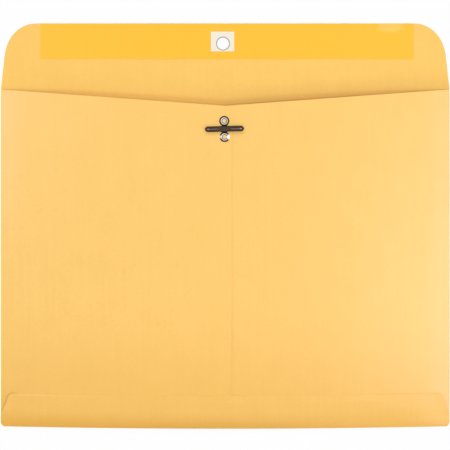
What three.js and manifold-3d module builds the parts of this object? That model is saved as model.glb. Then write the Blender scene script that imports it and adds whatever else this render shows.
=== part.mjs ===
// A clasp envelope of brown kraft paper, 12 by 9 inches, lying seam side up with its flap open.
// Millimetres, +Z up. +X is to the right and +Y towards the flap, seen from above.
// The origin is on the table, under the middle of the open envelope.
import * as THREE from 'three';
import { mergeVertices } from 'three/addons/utils/BufferGeometryUtils.js';
import Module from 'manifold-3d';

// Paper blank
const envelopeWidth = 304.8;
const bodyHeight = 229;          // from the flap crease to the ends of the bottom fold
const bottomBow = 1.7;           // the bottom fold runs this much lower in its middle
const cornerRadius = 3.2;        // bottom corners, seen from above
const paperThickness = 0.2;
const creaseGap = 0.2;           // between two panels of the sheet, where the crease is
const layerGap = 0.05;           // air between two layers that lie on each other
const sideFoldRadius = 0.3;      // to the middle of the paper, in the two side folds

// Pocket, which stands a little open
const pocketRise = 4.9;          // how far the front bulges above the side folds
const pocketRiseLength = 60;     // the front is at its full height this far up
const pocketRollShare = 0.8;     // the part of the rise that is a roll along the bottom fold
const pocketRollLength = 8.5;    // how quickly that roll flattens out
const pocketClimbPower = 2.2;    // a higher power makes the rest of the rise end flatter
const bulgePower = 3;            // a higher power makes a flatter front with steeper sides
const foldClearance = 0.9;       // from the bottom fold's paper to the ends of the side panels

// Throat, cut as a shallow V, and the centre seam
const throatDropAtFold = 0.3;    // below the crease, at the side folds
const throatDropAtSeam = 11.8;   // below the crease, at each side panel's inner edge
const seamOverlap = 9.2;
const seamRampLength = 14;       // the outer layer climbs onto the inner one over this length
const seamGlueWidth = 6;
const seamGlueThickness = 0.05;
const seamGlueTopMargin = 6;     // from the throat down to the top of the glue

// Bottom flap, glued over the side panels
const bottomFlapHeight = 22.6;
const bottomFlapShoulder = 7.5;  // below this height the flap is as wide as the envelope
const bottomFlapInset = 5.8;     // how far each end slants in at the top edge
const bottomFlapCorner = 2.5;    // radius of its two upper corners
const bottomGlueThickness = 0.05;
const bottomGlueStart = 7.5;     // above the bottom fold
const bottomGlueHeight = 9;
const bottomGlueMargin = 12;     // from each side fold to the end of the glue

// Closing flap
const flapHeight = 44.6;
const flapSideInset = 5;         // where the leaning sides would meet the top edge
const flapCornerDrop = 23;       // the rounded corner begins this far below the top edge
const flapCornerRun = 28;        // and ends this far from the side of the envelope

// Gum, hole and reinforcing patch on the closing flap
const gumLength = 253.6;
const gumWidth = 24.1;
const gumOffset = 1.2;           // the gum was laid this far right of the middle
const gumEdgeMargin = 0.2;       // bare paper along the flap's top edge
const gumThickness = 0.05;
const holeDiameter = 9.4;
const holeOffset = -1.5;
const holeRise = 30.9;           // from the crease to the middle of the hole
const patchWidth = 15.8;
const patchHeight = 13.4;
const patchOffset = 0.3;         // the patch sits this far left of the hole's middle
const patchLift = 1.5;           // and this far above it
const patchThickness = 0.12;

// Clasp, stamped from thin sheet metal
const claspOffset = -0.5;
const claspDrop = 27.2;          // from the crease to the middle of the clasp
const claspTurn = 1.35;          // degrees, because it was not set quite square
const claspMetal = 0.3;
const eyeletSpacing = 10.8;
const eyeletRingDiameter = 6.8;
const eyeletMouthDiameter = 5.2; // the bright funnel, where it leaves the flat ring
const eyeletBore = 2.2;
const eyeletClearance = 0.15;    // round the barrel, in the paper
const clinchDiameter = 4.8;
const clinchDepth = 0.35;
const neckWidth = 3.8;
const prongReach = 13.05;        // from the middle of the clasp to a tip
const prongWidth = 3.75;
const prongThickness = 0.5;      // the sheet folded double
const prongHinge = 1.95;         // from the middle of the clasp to a bending line
const prongGap = 0.12;           // round each bending root
const ribWidth = 1.1;
const ribHeight = 0.25;
const ribStart = 3.4;            // from the middle of the clasp
const ribTipMargin = 1.3;

// Resolution
const foldSteps = 6;
const seamSteps = 3;
const panelColumns = 10;
const leastRow = 0.2;
const roundSides = 24;

const halfWidth = envelopeWidth / 2;
const creaseY = (bodyHeight + bottomBow - flapHeight) / 2;
const cornerY = creaseY - bodyHeight;
const flapTopY = creaseY + flapHeight;
const holeY = creaseY + holeRise;
const claspY = creaseY - claspDrop;
const hingeY = (holeY + claspY) / 2;  // so that the hole comes down over the prongs
const foldX = halfWidth - sideFoldRadius - paperThickness / 2;
const frontBase = paperThickness / 2 + 2 * sideFoldRadius;
const seamStep = paperThickness + seamGlueThickness + 2 * layerGap;
const bottomStep = paperThickness + bottomGlueThickness + 2 * layerGap;
const bottomFoldRadius = (frontBase + seamStep + bottomStep - paperThickness / 2) / 2;
const bottomFoldDepth = bottomFoldRadius + paperThickness / 2;
const claspAngle = THREE.MathUtils.degToRad(claspTurn);
const prongBottom = claspMetal + prongGap;
const prongAxisZ = prongBottom + prongThickness / 2;

// Heights above the bottom fold at which every layer of the front has a row of its grid, so
// that the facets of one layer lie parallel to those of the next.
const flapStraightEnd = bottomFlapHeight - bottomFlapCorner;
const frontRows = [
  0,
  cornerRadius / 2,
  ...evenSteps(cornerRadius, bottomFlapShoulder, 2),
  ...evenSteps(bottomFlapShoulder, flapStraightEnd, 4).slice(1),
  ...evenSteps(bottomFlapHeight, pocketRiseLength, 4),
];

const wasm = await Module();
wasm.setup();

const kraft = { color: 0xe9b45f, roughness: 0.8, metalness: 0 };
const glue = { color: 0xd9b878, roughness: 0.5, metalness: 0 };
const gum = { color: 0xedae3c, roughness: 0.35, metalness: 0 };
const whitePaper = { color: 0xf3efe4, roughness: 0.75, metalness: 0 };
const bronzedMetal = { color: 0x4d3a33, roughness: 0.35, metalness: 0.9 };

function makePiece(name, geometry, finish) {
  const piece = new THREE.Mesh(geometry, new THREE.MeshStandardMaterial(finish));
  piece.name = name;
  return piece;
}

// Where the bottom fold is, seen from above: it bows down a little in its middle.
function bottomEdgeY(x) {
  return cornerY - bottomBow * (1 - (x / halfWidth) ** 2);
}

// The height of the pocket's front, halfway through the inner layer of paper.
// Across, it is a lens. Along, it rolls up quickly from the bottom fold, and then climbs on.
function frontHeight(x, rise) {
  const across = 1 - Math.min(Math.abs(x) / foldX, 1) ** bulgePower;
  const above = Math.max(rise, 0);
  const roll = 1 - Math.exp(-above / pocketRollLength);
  const climb = 1 - (1 - Math.min(above / pocketRiseLength, 1)) ** pocketClimbPower;
  return frontBase + pocketRise * across * THREE.MathUtils.lerp(climb, roll, pocketRollShare);
}

// How much of the seam's extra layer is felt at x: all of it over the seam, none far away.
function seamShare(x) {
  const away = Math.max(Math.abs(x) - seamOverlap / 2, 0) / seamRampLength;
  return 1 - THREE.MathUtils.smoothstep(away, 0, 1);
}

// How much a rounded corner takes off, this far before the end of the edge.
function cornerLoss(toEnd, radius) {
  const into = Math.min(Math.max(radius - toEnd, 0), radius);
  return radius - Math.sqrt(radius ** 2 - into ** 2);
}

function evenSteps(start, end, count) {
  return Array.from({ length: count + 1 }, (_, k) => start + (end - start) * k / count);
}

// Closed sheet of even thickness round a grid of spots halfway through it. A spot has its
// point and, in a fold, the way it faces. Elsewhere it faces along the cross product of the
// grid's first and second directions, which points out of the upper face.
function sheetGeometry(grid, thickness) {
  const columns = grid.length;
  const rows = grid[0].length;
  const upper = [];
  const lower = [];
  const along = new THREE.Vector3();
  const over = new THREE.Vector3();
  const pointAt = (i, j) => (
    grid[THREE.MathUtils.clamp(i, 0, columns - 1)][THREE.MathUtils.clamp(j, 0, rows - 1)].point
  );
  for (let i = 0; i < columns; i += 1) {
    for (let j = 0; j < rows; j += 1) {
      along.subVectors(pointAt(i + 1, j), pointAt(i - 1, j));
      over.subVectors(pointAt(i, j + 1), pointAt(i, j - 1));
      const facing = grid[i][j].facing ?? along.clone().cross(over);
      const offset = facing.clone().setLength(thickness / 2);
      upper.push(pointAt(i, j).clone().add(offset));
      lower.push(pointAt(i, j).clone().sub(offset));
    }
  }
  const positions = [...upper, ...lower].flatMap((point) => point.toArray());
  const half = columns * rows;
  const indices = [];
  const addQuad = (a, b, c, d) => indices.push(a, b, c, a, c, d);
  for (let i = 0; i < columns - 1; i += 1) {
    for (let j = 0; j < rows - 1; j += 1) {
      const a = i * rows + j;
      const b = a + rows;
      addQuad(a, b, b + 1, a + 1);
      addQuad(half + a, half + a + 1, half + b + 1, half + b);
    }
  }
  for (let i = 0; i < columns - 1; i += 1) {
    const first = i * rows;
    const last = first + rows - 1;
    addQuad(first, half + first, half + first + rows, first + rows);
    addQuad(last, last + rows, half + last + rows, half + last);
  }
  for (let j = 0; j < rows - 1; j += 1) {
    const end = (columns - 1) * rows + j;
    addQuad(j, j + 1, half + j + 1, half + j);
    addQuad(end, half + end, half + end + 1, end + 1);
  }
  const geometry = new THREE.BufferGeometry();
  geometry.setAttribute('position', new THREE.Float32BufferAttribute(positions, 3));
  geometry.setIndex(indices);
  return geometry;
}

// Stations across the whole envelope, close together over the seam.
function bothSides(rampX, endX) {
  const right = [...evenSteps(0, rampX, 2 * seamSteps), ...evenSteps(rampX, endX, panelColumns)];
  const once = right.filter((x, k) => k > 0 && x !== right[k - 1]);
  return [...once.map((x) => -x).reverse(), 0, ...once];
}

// The rows of a side panel. Their number is the same wherever the panel starts.
function panelRows(start, end) {
  return [...frontRows.map((rise, k) => Math.max(rise, start + k * leastRow)), end];
}

// The rows of a layer that lies within the front.
function rowsBetween(start, end) {
  return [start, ...frontRows.filter((rise) => rise > start && rise < end), end];
}

// A flat piece, cut to an outline and lying at a height.
function flatPiece(shape, bottom, thickness) {
  const geometry = new THREE.ExtrudeGeometry(shape, {
    depth: thickness, bevelEnabled: false, curveSegments: roundSides,
  });
  return geometry.translate(0, 0, bottom);
}

function roundHole(x, y, diameter) {
  return new THREE.Path().absarc(x, y, diameter / 2, 0, 2 * Math.PI);
}

// Geometry to a solid for cutting and joining, and back.
function toSolid(geometry) {
  const bare = new THREE.BufferGeometry();
  bare.setAttribute('position', geometry.getAttribute('position'));
  bare.setIndex(geometry.getIndex());
  const merged = mergeVertices(bare, 1e-4);
  return new wasm.Manifold(new wasm.Mesh({
    numProp: 3,
    vertProperties: new Float32Array(merged.getAttribute('position').array),
    triVerts: new Uint32Array(merged.getIndex().array),
  }));
}

function toGeometry(solid) {
  const mesh = solid.getMesh();
  const geometry = new THREE.BufferGeometry();
  geometry.setAttribute('position', new THREE.BufferAttribute(mesh.vertProperties, 3));
  geometry.setIndex(new THREE.BufferAttribute(mesh.triVerts, 1));
  return geometry;
}

// The holes that the two eyelets of the clasp are pushed through.
function cutEyeletHoles(geometry) {
  const radius = eyeletBore / 2 + claspMetal + eyeletClearance;
  let solid = toSolid(geometry);
  for (const end of [-1, 1]) {
    const drill = new THREE.CylinderGeometry(radius, radius, 4 * pocketRise, roundSides);
    drill.rotateX(Math.PI / 2);
    drill.translate(0, end * eyeletSpacing / 2, 0);
    drill.rotateZ(claspAngle);
    drill.translate(claspOffset, claspY, 0);
    solid = solid.subtract(toSolid(drill));
  }
  return toGeometry(solid);
}

// Back panel, flat on the table. Its lower edge follows the bowed bottom fold.
function backPanel() {
  const side = foldX - creaseGap;
  const upper = hingeY - creaseGap / 2;
  const inset = bottomFoldDepth + creaseGap;
  const bendX = halfWidth - cornerRadius;
  const ends = bottomEdgeY(bendX) + inset;
  const control = ends - bottomBow * (bendX / halfWidth) ** 2 * 2;
  const shape = new THREE.Shape();
  shape.moveTo(-side, upper);
  shape.lineTo(-side, ends + cornerRadius);
  shape.quadraticCurveTo(-side, ends, -bendX, ends);
  shape.quadraticCurveTo(0, control, bendX, ends);
  shape.quadraticCurveTo(side, ends, side, ends + cornerRadius);
  shape.lineTo(side, upper);
  return flatPiece(shape, 0, paperThickness);
}

// Side panels. Each wraps round its side fold from the back and runs over to the seam.
// side is -1 for the left one, which lies on top at the seam, and 1 for the right one.
function sidePanel(side) {
  const layer = side < 0 ? seamStep : 0;
  const bendX = halfWidth - cornerRadius;
  const rampX = seamOverlap / 2 + seamRampLength;
  const folded = evenSteps(0, Math.PI, foldSteps).map((turn) => ({
    x: side * (foldX + sideFoldRadius * Math.sin(turn)), turn,
  }));
  const open = [
    halfWidth - cornerRadius / 3,
    ...evenSteps(bendX, rampX, panelColumns),
    ...evenSteps(rampX, seamOverlap / 2, seamSteps).slice(1),
    -seamOverlap / 2,
  ].map((distance) => ({ x: side * distance }));
  const grid = [...folded, ...open].map(({ x, turn }) => {
    const rounding = cornerLoss(halfWidth - Math.abs(x), cornerRadius);
    const start = bottomFoldDepth + foldClearance + rounding;
    const reach = Math.max(foldX - side * x, 0) / (foldX + seamOverlap / 2);
    const drop = THREE.MathUtils.lerp(throatDropAtFold, throatDropAtSeam, reach);
    const end = creaseY - drop - bottomEdgeY(x);
    return panelRows(start, end).map((rise) => {
      const y = bottomEdgeY(x) + rise;
      if (turn === undefined) {
        const z = frontHeight(x, rise) + layer * seamShare(x);
        return { point: new THREE.Vector3(x, y, z) };
      }
      return {
        point: new THREE.Vector3(x, y, paperThickness / 2 + sideFoldRadius * (1 - Math.cos(turn))),
        facing: new THREE.Vector3(side * Math.sin(turn), 0, -Math.cos(turn)),
      };
    });
  });
  if (side > 0) grid.reverse();
  return cutEyeletHoles(sheetGeometry(grid, paperThickness));
}

// Bottom flap. It wraps round the bottom fold from the back and lies over both side panels.
function bottomFlap() {
  const folded = evenSteps(0, Math.PI, foldSteps).map((turn) => ({
    rise: bottomFoldDepth - bottomFoldRadius * Math.sin(turn),
    foldZ: paperThickness / 2 + bottomFoldRadius * (1 - Math.cos(turn)),
    facing: new THREE.Vector3(0, -Math.sin(turn), -Math.cos(turn)),
  }));
  const open = [
    ...rowsBetween(cornerRadius / 2, flapStraightEnd),
    bottomFlapHeight - bottomFlapCorner / 2,
    bottomFlapHeight - bottomFlapCorner / 6,
    bottomFlapHeight,
  ].map((rise) => ({ rise }));
  const rampX = seamOverlap / 2 + seamRampLength;
  const shares = bothSides(rampX, halfWidth).map((x) => x / halfWidth);
  const grid = shares.map((share) => [...folded, ...open].map(({ rise, foldZ, facing }) => {
    const slant = Math.max(rise - bottomFlapShoulder, 0) / (bottomFlapHeight - bottomFlapShoulder);
    const endX = halfWidth - cornerLoss(rise, cornerRadius) - bottomFlapInset * slant
      - cornerLoss(bottomFlapHeight - rise, bottomFlapCorner);
    const x = share * endX;
    const nearFold = Math.max(1 - rise / bottomFlapShoulder, 0);
    const layer = seamStep * THREE.MathUtils.lerp(seamShare(x), 1, nearFold) + bottomStep;
    const z = foldZ ?? frontHeight(x, rise) + layer;
    return { point: new THREE.Vector3(x, bottomEdgeY(x) + rise, z), facing };
  }));
  return sheetGeometry(grid, paperThickness);
}

// Seam glue, a film between the two side panels, under the overlap.
function seamGlue() {
  const lift = paperThickness / 2 + layerGap + seamGlueThickness / 2;
  const grid = evenSteps(-seamGlueWidth / 2, seamGlueWidth / 2, 2).map((x) => {
    const end = creaseY - throatDropAtSeam - seamGlueTopMargin - bottomEdgeY(x);
    return rowsBetween(cornerRadius, end).map((rise) => (
      { point: new THREE.Vector3(x, bottomEdgeY(x) + rise, frontHeight(x, rise) + lift) }
    ));
  });
  return cutEyeletHoles(sheetGeometry(grid, seamGlueThickness));
}

// Bottom glue, a film between the side panels and the bottom flap.
function bottomFlapGlue() {
  const lift = paperThickness / 2 + layerGap + bottomGlueThickness / 2;
  const endX = foldX - bottomGlueMargin;
  const rampX = seamOverlap / 2 + seamRampLength;
  const grid = bothSides(rampX, endX).map((x) => (
    rowsBetween(bottomGlueStart, bottomGlueStart + bottomGlueHeight).map((rise) => {
      const z = frontHeight(x, rise) + seamStep * seamShare(x) + lift;
      return { point: new THREE.Vector3(x, bottomEdgeY(x) + rise, z) };
    })
  ));
  return sheetGeometry(grid, bottomGlueThickness);
}

// Closing flap, flat on the table: leaning sides, a straight top edge and soft corners.
function sealFlap() {
  const root = hingeY + creaseGap / 2;
  const sideAt = (y) => halfWidth - flapSideInset * (y - creaseY) / flapHeight;
  const bendY = flapTopY - flapCornerDrop;
  const shape = new THREE.Shape();
  shape.moveTo(-sideAt(root), root);
  shape.lineTo(sideAt(root), root);
  shape.lineTo(sideAt(bendY), bendY);
  shape.quadraticCurveTo(sideAt(flapTopY), flapTopY, halfWidth - flapCornerRun, flapTopY);
  shape.lineTo(flapCornerRun - halfWidth, flapTopY);
  shape.quadraticCurveTo(-sideAt(flapTopY), flapTopY, -sideAt(bendY), bendY);
  shape.holes.push(roundHole(holeOffset, holeY, holeDiameter));
  return flatPiece(shape, 0, paperThickness);
}

function rectangle(left, bottom, width, height) {
  const shape = new THREE.Shape();
  shape.moveTo(left, bottom);
  shape.lineTo(left + width, bottom);
  shape.lineTo(left + width, bottom + height);
  shape.lineTo(left, bottom + height);
  shape.closePath();
  return shape;
}

function sealGum() {
  const top = flapTopY - gumEdgeMargin;
  const shape = rectangle(gumOffset - gumLength / 2, top - gumWidth, gumLength, gumWidth);
  shape.holes.push(roundHole(holeOffset, holeY, holeDiameter));
  return flatPiece(shape, paperThickness, gumThickness);
}

function holePatch() {
  const left = holeOffset - patchOffset - patchWidth / 2;
  const bottom = holeY + patchLift - patchHeight / 2;
  const shape = rectangle(left, bottom, patchWidth, patchHeight);
  shape.holes.push(roundHole(holeOffset, holeY, holeDiameter));
  return flatPiece(shape, paperThickness + gumThickness, patchThickness);
}

// Eyelet of the clasp, turned round its own axis. The sheet dips from the flat ring into
// a barrel, which goes through the paper and is clinched outwards inside the pocket.
// Heights are measured from the underside of the ring.
function eyelet() {
  const bore = eyeletBore / 2;
  const mouth = eyeletMouthDiameter / 2;
  const barrel = bore + claspMetal;
  const collar = mouth + claspMetal;
  const underPaper = -(layerGap + paperThickness + seamStep + layerGap);
  const lip = underPaper - claspMetal / 2;
  const foot = underPaper - clinchDepth;
  const inside = new THREE.Path();
  inside.moveTo(mouth, claspMetal);
  inside.quadraticCurveTo(bore, claspMetal * 0.9, bore, -claspMetal);
  inside.lineTo(bore, underPaper);
  inside.quadraticCurveTo(bore, foot, barrel, foot);
  inside.lineTo(clinchDiameter / 2, foot + claspMetal / 3);
  inside.lineTo(clinchDiameter / 2, lip);
  inside.lineTo(barrel, underPaper);
  inside.lineTo(barrel, -layerGap);
  inside.lineTo(barrel + eyeletClearance / 2, 0);
  inside.lineTo(collar, 0);
  inside.lineTo(collar, claspMetal);
  inside.lineTo(mouth, claspMetal);
  const turned = new THREE.LatheGeometry(inside.getPoints(4), roundSides);
  return turned.rotateX(Math.PI / 2);
}

// The plate of the clasp: two rings joined by a neck, drawn round with arcs.
function claspPlate() {
  const ring = eyeletRingDiameter / 2;
  const away = eyeletSpacing / 2;
  const neckAngle = Math.asin(neckWidth / 2 / ring);
  const shape = new THREE.Shape();
  shape.absarc(0, away, ring, neckAngle - Math.PI / 2, Math.PI * 1.5 - neckAngle, false);
  shape.absarc(0, -away, ring, Math.PI / 2 + neckAngle, Math.PI * 2.5 - neckAngle, false);
  shape.closePath();
  for (const end of [-1, 1]) {
    const hole = eyeletMouthDiameter + claspMetal;
    shape.holes.push(roundHole(0, end * away, hole));
  }
  return flatPiece(shape, 0, claspMetal);
}

// Cross-section of the bar, in the plane across it: flat, with fully rounded long edges.
function barProfile(bottom) {
  const round = prongThickness / 2;
  const side = prongWidth / 2 - round;
  const shape = new THREE.Shape();
  shape.moveTo(-side, bottom);
  shape.lineTo(side, bottom);
  shape.lineTo(side + round, bottom);
  shape.lineTo(side + round, prongBottom + round);
  shape.absarc(side, prongBottom + round, round, 0, Math.PI / 2, false);
  shape.absarc(-side, prongBottom + round, round, Math.PI / 2, Math.PI, false);
  shape.lineTo(-side - round, bottom);
  shape.closePath();
  return shape;
}

// Extrudes a cross-section drawn in the plane across the bar, from one x to another.
function alongBar(shape, startX, endX) {
  const geometry = new THREE.ExtrudeGeometry(shape, {
    depth: endX - startX, bevelEnabled: false, curveSegments: 6,
  });
  return geometry.rotateX(Math.PI / 2).rotateZ(Math.PI / 2).translate(startX, 0, 0);
}

function claspBase() {
  const hubEnd = prongHinge - prongThickness / 2 - prongGap;
  let solid = toSolid(claspPlate());
  solid = solid.add(toSolid(alongBar(barProfile(claspMetal / 2), -hubEnd, hubEnd)));
  for (const end of [-1, 1]) {
    solid = solid.add(toSolid(eyelet().translate(0, end * eyeletSpacing / 2, 0)));
  }
  return toGeometry(solid);
}

// A prong, pointing along +X from its bending line, which is its own Y axis. The bar's
// section is trimmed to a round tip, a long pressed rib stiffens it, and its root is rounded
// about the bending line.
function prong() {
  const round = prongThickness / 2;
  const tipX = prongReach - prongWidth / 2;
  const tip = new THREE.Shape();
  tip.moveTo(prongHinge, -prongWidth / 2);
  tip.lineTo(tipX, -prongWidth / 2);
  tip.absarc(tipX, 0, prongWidth / 2, -Math.PI / 2, Math.PI / 2, false);
  tip.lineTo(prongHinge, prongWidth / 2);
  tip.closePath();
  const bar = toSolid(alongBar(barProfile(prongBottom), prongHinge, prongReach));
  const outline = toSolid(flatPiece(tip, 0, 2 * prongBottom + prongThickness));
  const root = new THREE.CylinderGeometry(round, round, prongWidth, roundSides / 2);
  const knuckle = toSolid(root.translate(prongHinge, 0, prongAxisZ));
  const whole = toGeometry(bar.intersect(outline).add(knuckle).add(toSolid(rib())));
  return whole.translate(-prongHinge, 0, -prongAxisZ);
}

// The rib: a capsule seen from above, with a rounded crest.
function rib() {
  const startX = ribStart + ribWidth / 2;
  const endX = prongReach - ribTipMargin - ribWidth / 2;
  const bevel = ribHeight / 2;
  const side = ribWidth / 2 - bevel;
  const shape = new THREE.Shape();
  shape.absarc(endX, 0, side, -Math.PI / 2, Math.PI / 2, false);
  shape.absarc(startX, 0, side, Math.PI / 2, Math.PI * 1.5, false);
  shape.closePath();
  const geometry = new THREE.ExtrudeGeometry(shape, {
    depth: prongThickness / 2, bevelThickness: bevel, bevelSize: bevel, bevelSegments: 3,
    curveSegments: 8,
  });
  return geometry.translate(0, 0, prongBottom + prongThickness / 2 + ribHeight - bevel);
}

const envelope = new THREE.Group();
envelope.add(
  makePiece('back_panel', backPanel(), kraft),
  makePiece('left_side_panel', sidePanel(-1), kraft),
  makePiece('right_side_panel', sidePanel(1), kraft),
  makePiece('bottom_flap', bottomFlap(), kraft),
  makePiece('seam_glue', seamGlue(), glue),
  makePiece('bottom_flap_glue', bottomFlapGlue(), glue),
);

const closingFlap = new THREE.Group();
closingFlap.add(
  makePiece('seal_flap', sealFlap(), kraft),
  makePiece('seal_gum', sealGum(), gum),
  makePiece('hole_patch', holePatch(), whitePaper),
);
envelope.add(closingFlap);

const clasp = new THREE.Group();
const claspRise = claspY - bottomEdgeY(claspOffset);
const paperTop = frontHeight(claspOffset, claspRise) + seamStep + paperThickness / 2;
clasp.position.set(claspOffset, claspY, paperTop + layerGap);
clasp.rotation.z = claspAngle;
clasp.add(makePiece('clasp_base', claspBase(), bronzedMetal));
const rightProng = makePiece('right_prong', prong(), bronzedMetal);
rightProng.position.set(prongHinge, 0, prongAxisZ);
const leftProng = makePiece('left_prong', prong(), bronzedMetal);
leftProng.position.set(-prongHinge, 0, prongAxisZ);
leftProng.rotation.z = Math.PI;
clasp.add(leftProng, rightProng);
envelope.add(clasp);

export default envelope;
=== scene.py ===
# %% [markdown]
# # A clasp envelope of brown kraft paper
# The real thing is one sheet of paper, folded at five creases and glued along two seams. A band
# of gum and a punched white patch sit on its closing flap, and a small stamped clasp is pinned
# through the front. This lesson dresses a measured model of it: the frame gives every size and
# every joint, and each cell adds the surface that the eye expects.

# %% Load the measured frame
import math

import bmesh
import bpy
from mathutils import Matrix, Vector, noise


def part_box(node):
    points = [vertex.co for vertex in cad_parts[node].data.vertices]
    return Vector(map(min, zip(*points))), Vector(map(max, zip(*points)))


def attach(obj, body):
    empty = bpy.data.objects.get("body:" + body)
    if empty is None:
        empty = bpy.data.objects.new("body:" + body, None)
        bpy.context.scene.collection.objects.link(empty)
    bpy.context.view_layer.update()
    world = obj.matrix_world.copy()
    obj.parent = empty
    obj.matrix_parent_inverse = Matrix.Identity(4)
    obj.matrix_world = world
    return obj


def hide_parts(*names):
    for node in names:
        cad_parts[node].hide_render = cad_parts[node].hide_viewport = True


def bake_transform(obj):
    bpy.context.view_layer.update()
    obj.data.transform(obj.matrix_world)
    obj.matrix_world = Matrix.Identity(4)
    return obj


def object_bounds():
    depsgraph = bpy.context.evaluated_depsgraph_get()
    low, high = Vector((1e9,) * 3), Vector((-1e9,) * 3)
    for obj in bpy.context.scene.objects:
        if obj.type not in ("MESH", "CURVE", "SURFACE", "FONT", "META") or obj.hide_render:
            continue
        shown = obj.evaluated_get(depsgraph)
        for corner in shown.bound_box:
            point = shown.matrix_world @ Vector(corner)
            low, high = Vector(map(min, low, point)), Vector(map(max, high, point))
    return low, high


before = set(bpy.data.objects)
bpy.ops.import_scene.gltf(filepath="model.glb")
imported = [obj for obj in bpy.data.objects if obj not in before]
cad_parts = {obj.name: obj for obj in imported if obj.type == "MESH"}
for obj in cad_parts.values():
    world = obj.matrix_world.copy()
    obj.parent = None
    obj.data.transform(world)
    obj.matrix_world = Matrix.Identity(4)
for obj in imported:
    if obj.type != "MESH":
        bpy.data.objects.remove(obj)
cad_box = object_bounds()
MM = 0.001
print("frame, in mm:", [round(side / MM, 1) for side in cad_box[1] - cad_box[0]])

# %% [markdown]
# ## Camera and light
# The envelope was photographed from straight above with a long lens, so the camera looks down on
# its middle. A long lens keeps the raised pocket from growing against the flat flap. The picture
# is square, and the photo's scale says how wide a strip of table it shows.

# %% Camera
PHOTO_SIZE = 450
ENVELOPE_PIXELS = 448.6
PHOTO_MIDDLE = (225.2, 226.1)
half_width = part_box("left_side_panel")[0].x * -1
pixel = 2 * half_width / ENVELOPE_PIXELS
LENS = 300
SENSOR = 36


def add_object(name, data):
    obj = bpy.data.objects.new(name, data)
    bpy.context.collection.objects.link(obj)
    return obj


camera_data = bpy.data.cameras.new("camera")
camera_data.lens = LENS
camera_data.sensor_width = SENSOR
camera = add_object("camera", camera_data)
distance = LENS / SENSOR * PHOTO_SIZE * pixel
camera.location = (
    (PHOTO_SIZE / 2 - PHOTO_MIDDLE[0]) * pixel,
    (PHOTO_MIDDLE[1] - PHOTO_SIZE / 2) * pixel,
    distance,
)
bpy.context.scene.camera = camera
print("camera", round(distance, 3), "m up, one pixel is", round(pixel / MM, 4), "mm")

# %% [markdown]
# Most of the light comes from a pale room, which is brighter at its walls than overhead. It
# leaves a soft shadow where the raised front of the pocket stands over the back panel. A soft
# box on the right gives the right half of the pocket its sheen, because only that half leans the
# right way to mirror it, and a weaker one on the left does the same for the left edge. A low box
# beyond the flap leaves the roll at the bottom darker, and a higher one in front fills it. The
# glazed paper would mirror these two as a white glare in low views, so gloss doesn't see them.

# %% Lights
def soft_box(name, place, size, power):
    """A rectangle of light, in metres and watts, that faces the envelope."""
    data = bpy.data.lights.new(name, "AREA")
    data.shape = "RECTANGLE"
    data.size, data.size_y = size
    data.energy = power
    lamp = add_object(name, data)
    lamp.location = place
    lamp.rotation_euler = (-Vector(place)).to_track_quat("-Z", "Y").to_euler()
    return lamp


# Each box: its place, its width and height, its power, and whether gloss mirrors it.
SOFT_BOXES = {
    "right_box": ((0.55, -0.14, 1.28), (0.3, 0.6), 4.5, True),
    "left_box": ((-0.43, 0.20, 1.25), (0.25, 0.25), 1.2, True),
    "front_box": ((0.1, -0.75, 1.1), (0.8, 0.3), 3.2, False),
    "far_box": ((0.0, 1.30, 0.66), (1.4, 0.4), 7.0, False),
}
for name, (spot, size, power, in_gloss) in SOFT_BOXES.items():
    soft_box(name, spot, size, power).visible_glossy = in_gloss
    print(name, power, "W at", spot, "m")

# %% [markdown]
# A shader is a web of nodes, joined one by one. Adding a node and giving it its settings and its
# wires takes the same few steps every time, so each kind that is used here gets a short name.

# %% Shader nodes
SHEET_MAP = "unfolded"


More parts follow.
